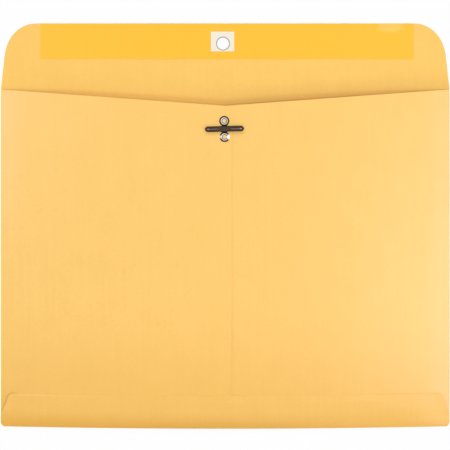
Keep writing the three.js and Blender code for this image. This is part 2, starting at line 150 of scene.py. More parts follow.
class Wires:
    """Short names for adding and joining shader nodes in one tree."""

    def __init__(self, tree):
        self.tree = tree

    def join(self, source, target):
        self.tree.links.new(source, target)

    def put(self, value, socket):
        if isinstance(value, bpy.types.NodeSocket):
            self.join(value, socket)
        else:
            socket.default_value = value

    def node(self, kind, inputs=None, **settings):
        """A new node with its settings; inputs gives a value or a wire to each named input."""
        made = self.tree.nodes.new("ShaderNode" + kind)
        for name, value in settings.items():
            setattr(made, name, value)
        for name, value in (inputs or {}).items():
            self.put(value, made.inputs[name])
        return made

    def unfolded(self):
        """The place on the unfolded sheet, in metres."""
        return self.node("UVMap", uv_map=SHEET_MAP).outputs["UV"]

    def split(self, vector):
        made = self.node("SeparateXYZ", {"Vector": vector})
        return made.outputs["X"], made.outputs["Y"]

    def maths(self, operation, first, second=0.0):
        return self.node("Math", {0: first, 1: second}, operation=operation).outputs["Value"]

    def plus(self, first, second):
        return self.maths("ADD", first, second)

    def minus(self, first, second):
        return self.maths("SUBTRACT", first, second)

    def times(self, first, second):
        return self.maths("MULTIPLY", first, second)

    def stretched(self, vector, scale):
        made = self.node("VectorMath", {0: vector, 1: scale}, operation="MULTIPLY")
        return made.outputs["Vector"]

    def distance(self, vector, spot):
        made = self.node("VectorMath", {0: vector, 1: spot}, operation="DISTANCE")
        return made.outputs["Value"]

    def noise(self, vector, scale, detail=2.0, roughness=0.5):
        inputs = {"Vector": vector, "Scale": scale, "Detail": detail, "Roughness": roughness}
        return self.node("TexNoise", inputs).outputs["Fac"]

    def ramp(self, value, low, high, to_low=0.0, to_high=1.0, kind="SMOOTHSTEP"):
        inputs = {"Value": value, "From Min": low, "From Max": high}
        inputs.update({"To Min": to_low, "To Max": to_high})
        return self.node("MapRange", inputs, interpolation_type=kind).outputs["Result"]

    def mix(self, share, first, second, blend="MIX"):
        inputs = {"Factor": share, "A": first, "B": second}
        made = self.node("Mix", inputs, data_type="RGBA", blend_type=blend)
        return made.outputs["Result"]

    def show(self, share, first, second, end):
        """Ends the tree in a blend of two shaders: the first at share 0, the second at 1."""
        made = self.node("MixShader", {0: share, 1: first, 2: second})
        self.join(made.outputs["Shader"], self.tree.nodes[end].inputs["Surface"])


print("short names:", ", ".join(name for name in vars(Wires) if name[0] != "_"))

# %% [markdown]
# The room itself is the world. Its strength falls from the horizon to the zenith. Rays that only
# show the background, to the camera or in a mirror, see plain white instead.

# %% Room
ROOM_AT_HORIZON = 1.52
ROOM_OVERHEAD = 0.08
ROOM_TINT = (0.93, 0.95, 1.0, 1)
WHITE = (1, 1, 1, 1)


def sees_backdrop(wires):
    """1 for camera, glossy and transmission rays, which are shown the white backdrop."""
    rays = wires.node("LightPath").outputs
    seen = rays["Is Camera Ray"]
    for kind in ("Is Glossy Ray", "Is Transmission Ray"):
        seen = wires.maths("MAXIMUM", seen, rays[kind])
    return seen


world = bpy.data.worlds.new("studio")
world.use_nodes = True
bpy.context.scene.world = world
wires = Wires(world.node_tree)
room = world.node_tree.nodes["Background"]
room.inputs["Color"].default_value = ROOM_TINT
sky = wires.node("SeparateXYZ", {"Vector": wires.node("TexCoord").outputs["Generated"]})
strength = wires.ramp(sky.outputs["Z"], 0.0, 1.0, ROOM_AT_HORIZON, ROOM_OVERHEAD, "LINEAR")
wires.join(strength, room.inputs["Strength"])
backdrop = wires.node("Background", {"Color": WHITE, "Strength": 1.0})
shaders = [background.outputs["Background"] for background in (room, backdrop)]
wires.show(sees_backdrop(wires), *shaders, "World Output")

bpy.context.scene.view_settings.view_transform = "Standard"
print("room strength", ROOM_AT_HORIZON, "at the horizon,", ROOM_OVERHEAD, "overhead")

# %% [markdown]
# The floor is one white square. A camera ray sees it lifted almost to white, so the background
# is as clean as the photo's, while part of the soft shadow round the paper stays.

# %% Floor
FLOOR_SIDE = 6.0
FLOOR_DROP = 0.02 * MM
FLOOR_PAINT = (0.86, 0.86, 0.86, 1)
FLOOR_LIFT = 0.92


def link_mesh(name, bm):
    mesh = bpy.data.meshes.new(name)
    bm.to_mesh(mesh)
    bm.free()
    return add_object(name, mesh)


def new_material(name):
    """A fresh material, the wires of its tree and the sockets of its shader."""
    material = bpy.data.materials.new(name)
    material.use_nodes = True
    wires = Wires(material.node_tree)
    return material, wires, material.node_tree.nodes["Principled BSDF"].inputs


def set_gloss(principled, roughness, specular=0.5, metallic=0.0):
    """Plain numbers, the same all over the surface, on the shader's own sockets."""
    principled["Roughness"].default_value = roughness
    principled["Specular IOR Level"].default_value = specular
    principled["Metallic"].default_value = metallic


bm = bmesh.new()
bmesh.ops.create_grid(bm, x_segments=1, y_segments=1, size=FLOOR_SIDE / 2)
floor = link_mesh("floor", bm)
floor.location.z = -FLOOR_DROP

floor_white, wires, principled = new_material("floor_white")
principled["Base Color"].default_value = FLOOR_PAINT
set_gloss(principled, 0.9, specular=0.0)
lifted = wires.times(sees_backdrop(wires), FLOOR_LIFT)
painted = wires.tree.nodes["Principled BSDF"].outputs["BSDF"]
pure_white = wires.node("Emission").outputs["Emission"]
wires.show(lifted, painted, pure_white, "Material Output")
floor.data.materials.append(floor_white)
print("floor", FLOOR_SIDE, "m wide,", FLOOR_DROP / MM, "mm under the paper")

# %% [markdown]
# ## The sizes of the folded sheet
# The frame's boxes give the outer sizes. What a box can't tell, such as how round a corner is or
# how the pocket bulges, is a named size here, with the same value as in the measured model.

# %% Sizes of the paper
PAPER = 0.2 * MM
LAYER_GAP = 0.05 * MM
FILM = 0.05 * MM
SIDE_FOLD_RADIUS = 0.3 * MM
BOTTOM_BOW = 1.7 * MM
CORNER_RADIUS = 3.2 * MM
POCKET_RISE = 4.9 * MM
RISE_LENGTH = 60 * MM
ROLL_SHARE = 0.8
ROLL_LENGTH = 8.5 * MM
CLIMB_POWER = 2.2
BULGE_POWER = 3
SEAM_OVERLAP = 2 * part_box("left_side_panel")[1].x
SEAM_RAMP = 14 * MM
THROAT_AT_FOLD = 0.3 * MM
THROAT_AT_SEAM = 11.8 * MM

bottom_y = cad_box[0].y
flap_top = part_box("seal_flap")[1].y
BODY_HEIGHT = 229 * MM
corner_y = bottom_y + BOTTOM_BOW
crease_y = corner_y + BODY_HEIGHT
fold_x = half_width - SIDE_FOLD_RADIUS - PAPER / 2
front_base = PAPER / 2 + 2 * SIDE_FOLD_RADIUS
seam_step = PAPER + FILM + 2 * LAYER_GAP
bottom_step = PAPER + FILM + 2 * LAYER_GAP
bottom_fold_radius = (front_base + seam_step + bottom_step - PAPER / 2) / 2
bottom_fold_depth = bottom_fold_radius + PAPER / 2
pocket_height = front_base + POCKET_RISE
print("crease at", round(crease_y / MM, 2), "mm, pocket", round(pocket_height / MM, 2), "mm high")

# %% [markdown]
# The front of the pocket is a shallow cushion of air under paper. Across, it is a lens that is
# flat in the middle and steep at the side folds. Along, it rolls up quickly from the bottom
# fold, climbs on a little and then stays level up to the throat. Every layer reads its height
# from this one function, so that no layer can cut through its neighbour.

# %% The pocket's surface
def bottom_edge(x):
    """The bottom fold bows out a little in the middle."""
    return corner_y - BOTTOM_BOW * (1 - (x / half_width) ** 2)


def front_height(x, rise):
    """Height of the inner layer's middle, at a distance along from the bottom fold."""
    across = 1 - min(abs(x) / fold_x, 1) ** BULGE_POWER
    rise = max(rise, 0)
    climb = 1 - (1 - min(rise / RISE_LENGTH, 1)) ** CLIMB_POWER
    roll = 1 - math.exp(-rise / ROLL_LENGTH)
    return front_base + POCKET_RISE * across * (climb + (roll - climb) * ROLL_SHARE)


def smooth(t):
    """Eases from 0 to 1 as t goes from 0 to 1."""
    t = min(max(t, 0), 1)
    return t * t * (3 - 2 * t)


def seam_share(x):
    """1 over the seam, where there are two layers, and 0 well beside it."""
    return 1 - smooth((abs(x) - SEAM_OVERLAP / 2) / SEAM_RAMP)


def corner_loss(to_end, radius):
    """How far a round corner draws its side in, at a distance from the end."""
    into = min(max(radius - to_end, 0), radius)
    return radius - math.sqrt(radius**2 - into**2)


def even(start, end, count):
    """count equal steps from start to end, as their end points."""
    return [start + (end - start) * k / count for k in range(count + 1)]


def runs(*marks):
    """Points along a line: marks are its ends and turns, with the count of steps between them."""
    made = [marks[0]]
    for start, count, end in zip(marks[::2], marks[1::2], marks[2::2]):
        made += even(start, end, count)[1:]
    return made


for away in even(0, fold_x, 4):
    height = front_height(away, RISE_LENGTH) / MM
    print("front", round(height, 2), "mm high", round(away / MM), "mm from the middle")

# %% [markdown]
# ## From a grid to a sheet of paper
# A sheet is a flat grid first. Each vertex of the grid is carried to its place on the folded
# form, and Solidify gives both faces and the cut edge. The grid keeps a map of the unfolded
# sheet, in metres, so that the grain of the paper follows it round every fold and through every
# pose. Holes are punched last, with a cylinder and a Boolean, as the real ones are.

# %% Sheets
SOFT_UNDER = 35
PUNCH_SIDES = 64


def bake_modifiers(obj):
    """Replaces the mesh by what its modifiers make of it."""
    graph = bpy.context.evaluated_depsgraph_get()
    finished = bpy.data.meshes.new_from_object(obj.evaluated_get(graph))
    old = obj.data
    obj.modifiers.clear()
    obj.data = finished
    finished.name = obj.name
    bpy.data.meshes.remove(old)
    return obj


def smooth_by_angle(obj, degrees=SOFT_UNDER):
    """Shades the surface smooth, except at edges that turn more than so many degrees."""
    obj.data.shade_smooth()
    obj.data.set_sharp_from_angle(angle=math.radians(degrees))


def cylinder(radius, height, sides):
    bm = bmesh.new()
    bmesh.ops.create_cone(
        bm, cap_ends=True, segments=sides, radius1=radius, radius2=radius, depth=height
    )
    return bm


def punch_tool(centre, radius, height):
    bm = cylinder(radius, height, PUNCH_SIDES)
    bmesh.ops.translate(bm, verts=bm.verts, vec=centre)
    return link_mesh("punch", bm)


def punch(obj, tools):
    """Cuts each tool out of the piece, and clears the tools away."""
    for tool in tools:
        cut = obj.modifiers.new("punch", "BOOLEAN")
        cut.object = tool
        cut.solver = "EXACT"
    bake_modifiers(obj)
    for tool in tools:
        bpy.data.objects.remove(tool)


def paper_sheet(name, across, along, place, thickness):
    """across and along are stations; place gives the point and the map's point at each pair."""
    columns, rows = len(across) - 1, len(along) - 1
    bm = bmesh.new()
    bmesh.ops.create_grid(bm, x_segments=columns, y_segments=rows, size=0.5)
    flat_map = bm.loops.layers.uv.new(SHEET_MAP)
    for vertex in bm.verts:
        i = round((vertex.co.x + 0.5) * columns)
        j = round((vertex.co.y + 0.5) * rows)
        vertex.co, spot = place(across[i], along[j])
        for loop in vertex.link_loops:
            loop[flat_map].uv = spot
    obj = link_mesh(name, bm)
    shell = obj.modifiers.new("thickness", "SOLIDIFY")
    shell.thickness = thickness
    shell.offset = 0
    bake_modifiers(obj)
    print(name, len(obj.data.vertices), "vertices")
    return obj


# %% [markdown]
# ### Back panel and closing flap
# They are one flat stretch of paper with the crease between them, so they are one piece here.
# It follows the envelope below the crease and the flap above it, and rolls over in between, as
# paper does. The flap's soft corners are one curve each, drawn with the three points of a
# quadratic curve. The flap lies almost flat, with a slight curl along its cut edges.

# %% Back panel and closing flap
FLAP_SIDE_INSET = 5 * MM
FLAP_CORNER_DROP = 23 * MM
FLAP_CORNER_RUN = 28 * MM
CORNER_FULLNESS = 0.6 * MM
FULLER_FROM = 0.4
FULLER_GROWS_OVER = 0.5
FULLER_ENDS_OVER = 0.25
CURL = 0.35 * MM
CURL_WIDTH = 14 * MM
FLAT_ABOVE_CREASE = 8 * MM
CURL_GROWS_OVER = 12 * MM
WAVES = (22, 30)
WAVE_SEED = 3.7
WAVE_SHARE = 0.6
FLARE_OVER = 1 * MM
flap_height = flap_top - crease_y
bend_y = flap_top - FLAP_CORNER_DROP


def flap_side(y):
    return half_width - FLAP_SIDE_INSET * (y - crease_y) / flap_height


def flap_curve(t):
    """The soft corner of the flap, from its side at t 0 to its top edge at t 1."""
    start, corner = flap_side(bend_y), flap_side(flap_top)
    x = (1 - t) ** 2 * start + 2 * t * (1 - t) * corner + t * t * (half_width - FLAP_CORNER_RUN)
    y = (1 - t) ** 2 * bend_y + (1 - (1 - t) ** 2) * flap_top
    fuller = smooth((t - FULLER_FROM) / FULLER_GROWS_OVER) * smooth((1 - t) / FULLER_ENDS_OVER)
    return x, min(y + CORNER_FULLNESS * fuller, flap_top)


def flap_height_at(x, y):
    """The closing flap's own small relief, to the middle of the paper."""
    raised = smooth((y - crease_y - FLAT_ABOVE_CREASE) / CURL_GROWS_OVER)
    if raised == 0:
        return PAPER / 2
    waves = 0.5 + 0.5 * noise.noise(Vector((x * WAVES[0], y * WAVES[1], WAVE_SEED)))
    edge = smooth(1 - (flap_top - y) / CURL_WIDTH)
    lift = WAVE_SHARE * waves + (1 - WAVE_SHARE) * edge * waves
    return PAPER / 2 + raised * CURL * lift


def back_place(share, station):
    """share goes from -1 at the left edge to 1 at the right; a station is a row or a curve's t."""
    kind, value = station
    if kind == "curve":
        end_x, y = flap_curve(value)
    else:
        y = value
        body_side = min(fold_x, half_width - corner_loss(y - corner_y, CORNER_RADIUS))
        above_crease = smooth((y - crease_y + THROAT_AT_FOLD) / FLARE_OVER)
        end_x = body_side + (flap_side(y) - body_side) * above_crease
    x = share * end_x
    y += (bottom_edge(x) - corner_y) * smooth(1 - (y - corner_y) / RISE_LENGTH)
    return Vector((x, y, flap_height_at(x, y))), (x, y)


# Rows lie close together where the sheet curves: by the bottom fold and round the crease.
near_fold_rows = (0, 0.4 * MM, 1 * MM, 2 * MM, 3 * MM)
back_rows = [corner_y + bottom_fold_depth + step for step in near_fold_rows]
back_rows += even(corner_y + 6 * MM, crease_y - 6 * MM, 30)
back_rows += even(crease_y - 5 * MM, crease_y + 8 * MM, 40)
back_rows += even(crease_y + 9 * MM, bend_y, 10)
back_stations = [("line", y) for y in back_rows]
back_stations += [("curve", t) for t in even(0, 1, 28)[1:]]

back_sheet = paper_sheet("folded_back_sheet", even(-1, 1, 120), back_stations, back_place, PAPER)

HOLE_RADIUS = 4.7 * MM
HOLE_X = -1.5 * MM
HOLE_ABOVE_CREASE = 30.9 * MM
THROUGH_FLAP = 4 * MM
hole = Vector((HOLE_X, crease_y + HOLE_ABOVE_CREASE, 0))
punch(back_sheet, [punch_tool(hole, HOLE_RADIUS, THROUGH_FLAP)])
smooth_by_angle(back_sheet)
print("hole", round(2 * HOLE_RADIUS / MM, 1), "mm wide")

# %% [markdown]
# ### Side panels
# Each side panel is the part of the same sheet that wraps round a side fold and runs over to the
# middle, where the left one laps over the right one. Their slanted top edges make the shallow V
# of the throat. The fold is a half circle as tight as the paper allows. The glue stops short of
# the left panel's cut edge, which stands up a hair and shows as a fine line down the middle.

# %% Side panels
THROAT_CORNER = 2.5 * MM
SEAM_LIFT = 0.05 * MM
SEAM_LIFT_WIDTH = 1.8 * MM
SEAM_LIFT_FROM = 26 * MM
SEAM_LIFT_GROWS_OVER = 10 * MM
FOLD_CLEARANCE = 0.9 * MM
EYELET_HOLE = 1.55 * MM
EYELET_AWAY = 5.4 * MM
CLASP_X = -0.5 * MM
CLASP_BELOW_CREASE = 27.2 * MM
CLASP_TURN = math.radians(1.35)
THROUGH_POCKET = 40 * MM
STEEP_WIDTH = 8 * MM
clasp_at = Vector((CLASP_X, crease_y - CLASP_BELOW_CREASE, 0))
ring_away = Vector((-math.sin(CLASP_TURN), math.cos(CLASP_TURN), 0)) * EYELET_AWAY
rings = [clasp_at + end * ring_away for end in (-1, 1)]
seam_half = SEAM_OVERLAP / 2


def side_place(side, layer):
    """side is -1 or 1; layer lifts the panel over the one beneath it at the seam."""
    def place(station, t):
        kind, value = station
        turn = value if kind == "fold" else math.pi
        away = fold_x if kind == "fold" else value
        x = side * (away + (SIDE_FOLD_RADIUS * math.sin(turn) if kind == "fold" else 0))
        start = bottom_fold_depth + FOLD_CLEARANCE
        start += corner_loss(half_width - abs(x), CORNER_RADIUS)
        reach = max(fold_x - away, 0) / (fold_x + seam_half)
        drop = THROAT_AT_FOLD + (THROAT_AT_SEAM - THROAT_AT_FOLD) * reach
        drop += corner_loss(away + seam_half, THROAT_CORNER)
        end = crease_y - drop - bottom_edge(x)
        rise = start + (end - start) * t
        y = bottom_edge(x) + rise
        if kind == "fold":
            z = PAPER / 2 + SIDE_FOLD_RADIUS * (1 - math.cos(turn))
        else:
            z = front_height(x, rise) + layer * seam_share(x)
            if layer:
                free = smooth((rise - SEAM_LIFT_FROM) / SEAM_LIFT_GROWS_OVER)
                z += SEAM_LIFT * free * smooth(1 - (away + seam_half) / SEAM_LIFT_WIDTH)
        unrolled = fold_x + SIDE_FOLD_RADIUS * turn + (fold_x - away)
        return Vector((x, y, z)), (side * unrolled, y)

    return place


def eyelet_punches():
    """One tool at each ring of the clasp."""
    return [punch_tool(ring, EYELET_HOLE, THROUGH_POCKET) for ring in rings]


def fold_then_open(turns, *marks):
    """Stations that go round half a fold, and then on along the open panel."""
    stations = [("fold", turn) for turn in even(0, math.pi, turns)]
    return stations + [("open", value) for value in runs(*marks)[1:]]


across_side = fold_then_open(
    10, fold_x, 10, fold_x - STEEP_WIDTH, 50, seam_half + SEAM_RAMP, 12, seam_half,
    5, -seam_half + THROAT_CORNER, 8, -seam_half,
)
along_side = runs(0, 8, 0.08, 60, 0.96, 6, 1)

side_sheets = []
for side, name in ((-1, "left"), (1, "right")):
    stations = across_side if side < 0 else across_side[::-1]
    layer = seam_step if side < 0 else 0
    sheet = paper_sheet(name + "_side_sheet", stations, along_side, side_place(side, layer), PAPER)
    punch(sheet, eyelet_punches())
    smooth_by_angle(sheet)
    side_sheets.append(sheet)
print("panels overlap by", round(SEAM_OVERLAP / MM, 1), "mm at the seam")

# %% [markdown]
# ### Bottom flap
# The last panel wraps round the bottom fold and lies glued over both side panels. Its ends are
# slanted, so that it never sticks out past the side folds, and its corners are a little round.
# The glue ends well before them, so both ends stand up a little, the left one more. The long
# upper edge lies close instead, also just beside the seam, where the layer beneath it ends. The
# press that dries the glue crushes its cut edge too, except near the right end, so in the photo
# that edge is only seen there.

# %% Bottom flap
FLAP_RISE = 22.6 * MM
SHOULDER = 7.5 * MM
END_INSET = 5.8 * MM
END_CORNER = 2.5 * MM
END_LIFT = (0.9 * MM, 0.2 * MM)
END_LIFT_WIDTH = 6 * MM
LIFT_FROM = 5 * MM
LIFT_GROWS_OVER = 7 * MM
EDGE_DIP = 0.12 * MM
DIP_FROM = 17.5 * MM
DIP_GROWS_OVER = 4.5 * MM
BESIDE_SEAM = 4 * MM
BESIDE_FROM = 16.5 * MM
BESIDE_GROWS_OVER = 5.5 * MM
EDGE_CRUSH = 0.15 * MM
CRUSH_WIDTH = 1.6 * MM
GLUED_TO = 95 * MM
GLUE_FADES_OVER = 20 * MM
FLAP_MAP_START = bottom_y - 3 * MM


def pressed_flat(x):
    """1 where the flap's upper edge is pressed down, 0 near its right end."""
    return 1 - smooth((x - GLUED_TO) / GLUE_FADES_OVER)


def bottom_place(share, station):
    """share goes from -1 to 1 across; the map of this flap starts below the other panels'."""
    kind, value = station
    if kind == "fold":
        rise = bottom_fold_depth - bottom_fold_radius * math.sin(value)
    else:
        rise = value
    slant = max(rise - SHOULDER, 0) / (FLAP_RISE - SHOULDER)
    end_x = half_width - corner_loss(rise, CORNER_RADIUS) - END_INSET * slant
    x = share * (end_x - corner_loss(FLAP_RISE - rise, END_CORNER))
    if kind == "fold":
        z = PAPER / 2 + bottom_fold_radius * (1 - math.cos(value))
        unrolled = bottom_fold_radius * (math.pi - value)
    else:
        near_fold = max(1 - rise / SHOULDER, 0)
        over_seam = seam_share(x)
        if x > seam_half:
            beside = smooth((x - seam_half) / BESIDE_SEAM)
            over_seam *= 1 - beside * smooth((rise - BESIDE_FROM) / BESIDE_GROWS_OVER)
        share_of_seam = over_seam + (1 - over_seam) * near_fold
        z = front_height(x, rise) + seam_step * share_of_seam + bottom_step
        to_end = smooth(1 - (end_x - abs(x)) / END_LIFT_WIDTH)
        z += END_LIFT[0 if x < 0 else 1] * to_end * smooth((rise - LIFT_FROM) / LIFT_GROWS_OVER)
        dip = EDGE_DIP * (1 - to_end) * smooth((rise - DIP_FROM) / DIP_GROWS_OVER)
        z -= dip * pressed_flat(x)
        unrolled = rise
    return Vector((x, bottom_edge(x) + rise, z)), (x, FLAP_MAP_START - unrolled)


along_bottom = fold_then_open(
    12, bottom_fold_depth, 10, SHOULDER, 16, FLAP_RISE - END_CORNER, 8, FLAP_RISE
)
bottom_sheet = paper_sheet(
    "bottom_flap_sheet", even(-1, 1, 120), along_bottom, bottom_place, PAPER
)
for vertex in bottom_sheet.data.vertices:
    x, y, z = vertex.co
    faces_up = vertex.normal.z > 0.1
    if faces_up:
        to_edge = bottom_edge(x) + FLAP_RISE - y
        vertex.co.z -= EDGE_CRUSH * smooth(1 - to_edge / CRUSH_WIDTH) * pressed_flat(x)
smooth_by_angle(bottom_sheet)

# %% [markdown]
# ### Glue films
# The glue can't be seen, but it is what holds the panels together. Each film is a thin sheet
# that lies between its two layers.

# %% Glue films
SEAM_FILM_HALF = 3 * MM
BOTTOM_FILM_RISES = (7.5 * MM, 16.5 * MM)
film_lift = PAPER / 2 + LAYER_GAP + FILM / 2


def seam_glue_place(x, rise):
    y = bottom_edge(x) + rise
    return Vector((x, y, front_height(x, rise) + film_lift)), (x, y)


def bottom_glue_place(x, rise):
    z = front_height(x, rise) + seam_step * seam_share(x) + film_lift
    return Vector((x, bottom_edge(x) + rise, z)), (x, bottom_edge(x) + rise)


glue_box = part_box("seam_glue")
seam_columns = even(-SEAM_FILM_HALF, SEAM_FILM_HALF, 6)
seam_rises = even(glue_box[0].y - bottom_edge(0), glue_box[1].y - bottom_edge(0), 60)
seam_film = paper_sheet("seam_glue_film", seam_columns, seam_rises, seam_glue_place, FILM)
punch(seam_film, eyelet_punches())
film_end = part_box("bottom_flap_glue")[1].x
film_columns = even(-film_end, film_end, 90)
film_rises = even(*BOTTOM_FILM_RISES, 6)
bottom_film = paper_sheet("bottom_glue_film", film_columns, film_rises, bottom_glue_place, FILM)

# %% [markdown]
# ### Gum and patch
# The gum is a shiny film along the top of the flap, laid on in one stroke, with ends that are
# nearly straight. A small label of white paper is stuck over it, and one punch goes through
# label, gum and flap. It leaves a rim of the label pressed down into the hole, and a thin grey
# ring of painted shade lies on that rim. Both pieces take their height from the flap under them.

# %% Gum and patch
GUM_WANDER = 0.35 * MM
GUM_WAVES = 60
GUM_SEED = 5.0
WANDER_WIDTH = 6 * MM
PATCH = 0.12 * MM
RIM = 0.65 * MM
RIM_DROP = 0.16 * MM
gum_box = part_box("seal_gum")
patch_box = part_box("hole_patch")


def gum_place(x, y):
    """The gum's lower edge wanders a little, as a wet stroke does."""
    wander = GUM_WANDER * noise.noise(Vector((x * GUM_WAVES, GUM_SEED, 0.0)))
    low = smooth(1 - (y - gum_box[0].y) / WANDER_WIDTH)
    z = flap_height_at(x, y) + PAPER / 2 + FILM / 2
    return Vector((x, y + wander * low, z)), (x, y)


gum_rows = even(gum_box[0].y, gum_box[1].y, 26)
gum_columns = even(gum_box[0].x, gum_box[1].x, 110)
gum_band = paper_sheet("gum_band", gum_columns, gum_rows, gum_place, FILM)
punch(gum_band, [punch_tool(hole, HOLE_RADIUS, THROUGH_FLAP)])
smooth_by_angle(gum_band)


def patch_place(x, y):
    """The label lies on the gum, and its rim goes down into the hole."""
    from_hole = (Vector((x, y, 0)) - hole).length
    pressed = RIM_DROP * smooth((HOLE_RADIUS - from_hole) / RIM + 0.5)
    z = flap_height_at(x, y) + PAPER / 2 + FILM + PATCH / 2 - pressed
    return Vector((x, y, z)), (x, y)


patch_columns = even(patch_box[0].x, patch_box[1].x, 36)
patch_rows = even(patch_box[0].y, patch_box[1].y, 30)
patch = paper_sheet("punched_patch", patch_columns, patch_rows, patch_place, PATCH)
punch(patch, [punch_tool(hole, HOLE_RADIUS - RIM, THROUGH_FLAP)])
smooth_by_angle(patch)
print("label's own hole", round(2 * (HOLE_RADIUS - RIM) / MM, 1), "mm wide")

# %% [markdown]
# ### Clasp plate with its eyelets
# Two rings are stamped from one strip of sheet metal and joined by a neck. Each ring's middle is
# drawn down into a funnel, pushed through the paper and clinched outwards inside the pocket. A
# turned form like this is one profile, spun round the ring's own axis.

# %% Clasp plate
METAL = 0.3 * MM
RING = 3.4 * MM
MOUTH = 2.6 * MM
LIP = 0.15 * MM
BORE = 1.1 * MM
NECK = 3.8 * MM
NECK_GAP = 0.4 * MM
NECK_EDGE = 0.08 * MM
CLINCH = 2.4 * MM
SOFTENED = 0.1 * MM
RING_STEPS = 48
under_paper = -(2 * LAYER_GAP + PAPER + seam_step)
clasp_rise = clasp_at.y - bottom_edge(clasp_at.x)
clasp_height = front_height(clasp_at.x, clasp_rise) + seam_step + PAPER / 2 + LAYER_GAP


def to_clasp(bm, x=0.0, y=0.0):
    """Moves a form from the clasp's own frame into the shared one."""
    bmesh.ops.translate(bm, verts=bm.verts, vec=(x, y, 0))
    cosine, sine = math.cos(CLASP_TURN), math.sin(CLASP_TURN)
    for vertex in bm.verts:
        x, y, z = vertex.co
        vertex.co = (
            clasp_at.x + x * cosine - y * sine,
            clasp_at.y + x * sine + y * cosine,
            clasp_height + z,
        )


def eyelet_profile():
    """Half of the section of one eyelet, as distance from its axis and height."""
    top = [(RING - SOFTENED, METAL), (MOUTH + LIP, METAL)]
    throat = []
    for t in even(0, 1, 7):
        fall = smooth(t)
        throat.append((MOUTH + (BORE - MOUTH) * t, METAL - fall * 2 * METAL))
    foot = under_paper - METAL
    inside = [(BORE, under_paper), (BORE + SOFTENED, foot), (CLINCH, foot + SOFTENED)]
    back = [(CLINCH, under_paper - METAL / 2), (BORE + METAL, under_paper)]
    barrel = [(BORE + METAL, -LAYER_GAP), (BORE + METAL + SOFTENED, 0)]
    rim = [(RING - SOFTENED, 0), (RING, SOFTENED), (RING, METAL - SOFTENED)]
    return top + throat + inside + back + barrel + rim


def spun(profile, steps):
    """Turns a closed profile right round the Z axis, with its faces in the same order each run."""
    bm = bmesh.new()
    sections = []
    for turn in even(0, 2 * math.pi, steps)[:-1]:
        cosine, sine = math.cos(turn), math.sin(turn)
        sections.append([bm.verts.new((r * cosine, r * sine, z)) for r, z in profile])
    for near, far in zip(sections, sections[1:] + sections[:1]):
        for k in range(len(profile)):
            bm.faces.new((near[k - 1], near[k], far[k], far[k - 1]))
    bmesh.ops.recalc_face_normals(bm, faces=bm.faces)
    return bm


clasp_parts = []
for end in (-1, 1):
    bm = spun(eyelet_profile(), RING_STEPS)
    to_clasp(bm, y=end * EYELET_AWAY)
    clasp_parts.append(link_mesh("eyelet", bm))

neck_length = 2 * EYELET_AWAY - 2 * MOUTH - NECK_GAP
bm = bmesh.new()
bmesh.ops.create_cube(bm, size=1)
bmesh.ops.scale(bm, verts=bm.verts, vec=(NECK, neck_length, METAL))
bmesh.ops.translate(bm, verts=bm.verts, vec=(0, 0, METAL / 2))
long_edges = [e for e in bm.edges if abs(e.verts[0].co.y - e.verts[1].co.y) > METAL]
bmesh.ops.bevel(
    bm, geom=long_edges, offset=NECK_EDGE, offset_type="OFFSET", segments=2, profile=0.5,
    affect="EDGES", material=-1,
)
to_clasp(bm)
clasp_parts.append(link_mesh("neck", bm))


def join(parts, name):
    """One piece made of several, which are cleared away."""
    bm = bmesh.new()
    for part in parts:
        bm.from_mesh(part.data)
        old = part.data
        bpy.data.objects.remove(part)
        bpy.data.meshes.remove(old)
    return link_mesh(name, bm)


clasp_plate = join(clasp_parts, "clasp_plate")
smooth_by_angle(clasp_plate)
print("clasp plate", [round(side / MM, 2) for side in clasp_plate.dimensions], "mm")

# %% [markdown]
# The eyelet doesn't cut its hole clean. It pushes a small disc of paper down its barrel, and the
# disc stays there, so the paper's own colour shows in the middle of each bright ring.

# %% Paper discs in the eyelets
DISC = BORE * 0.98
DISC_SIDES = 32
discs = []
for end in (-1, 1):
    bm = cylinder(DISC, PAPER, DISC_SIDES)
    bmesh.ops.translate(bm, verts=bm.verts, vec=(0, 0, -METAL / 2))
    to_clasp(bm, y=end * EYELET_AWAY)
    bm.loops.layers.uv.new(SHEET_MAP)
    discs.append(link_mesh("disc", bm))
paper_discs = join(discs, "paper_discs")
smooth_by_angle(paper_discs)
print("paper discs", round(2 * DISC / MM, 2), "mm wide")

# %% [markdown]
# ### Prongs
# The prongs are one soft bar across the plate, with round tips and a pressed rib down each half
# that keeps it from bending anywhere but at its root. Each half is a strip of even thickness,
# with close rows at its bending line.

# %% Prongs
PRONG_REACH = 13.05 * MM
PRONG_WIDTH = 3.75 * MM
PRONG = 0.5 * MM
PRONG_HINGE = 1.95 * MM
PRONG_GAP = 0.12 * MM
PRONG_CROWN = 0.08 * MM
PRONG_EDGE = 0.12 * MM
PRONG_EDGE_ANGLE = math.radians(60)
PRONG_SOFT_UNDER = 40
RIB_HALF_WIDTH = 0.825 * MM
RIB_END_SLOPE = 0.66 * MM
RIB_HEIGHT = 0.25 * MM
RIB_START = 3.4 * MM
RIB_END = PRONG_REACH - 1.3 * MM
BEND_REACH = 0.7 * MM
TIP_CENTRE = PRONG_REACH - PRONG_WIDTH / 2
prong_middle = METAL + PRONG_GAP + PRONG / 2


def rib_at(x, y):
    """1 on the crest of the rib and 0 off it."""
    along = min(x - RIB_START, RIB_END - x) / RIB_END_SLOPE
    return smooth(along) * smooth(1 - abs(y) / RIB_HALF_WIDTH)


def prong_place(side):
    """x runs from the middle of the bar to a prong's tip, share from -1 to 1 across it."""
    def place(x, share):
        to_tip = PRONG_REACH - x
        half = PRONG_WIDTH / 2 - corner_loss(to_tip, PRONG_WIDTH / 2)
        y = share * half
        crown = PRONG_CROWN * (1 - share**2)
        z = prong_middle + crown - PRONG_CROWN + RIB_HEIGHT * rib_at(x, y)
        return Vector((side * x, side * y, z)), (x, y)

    return place


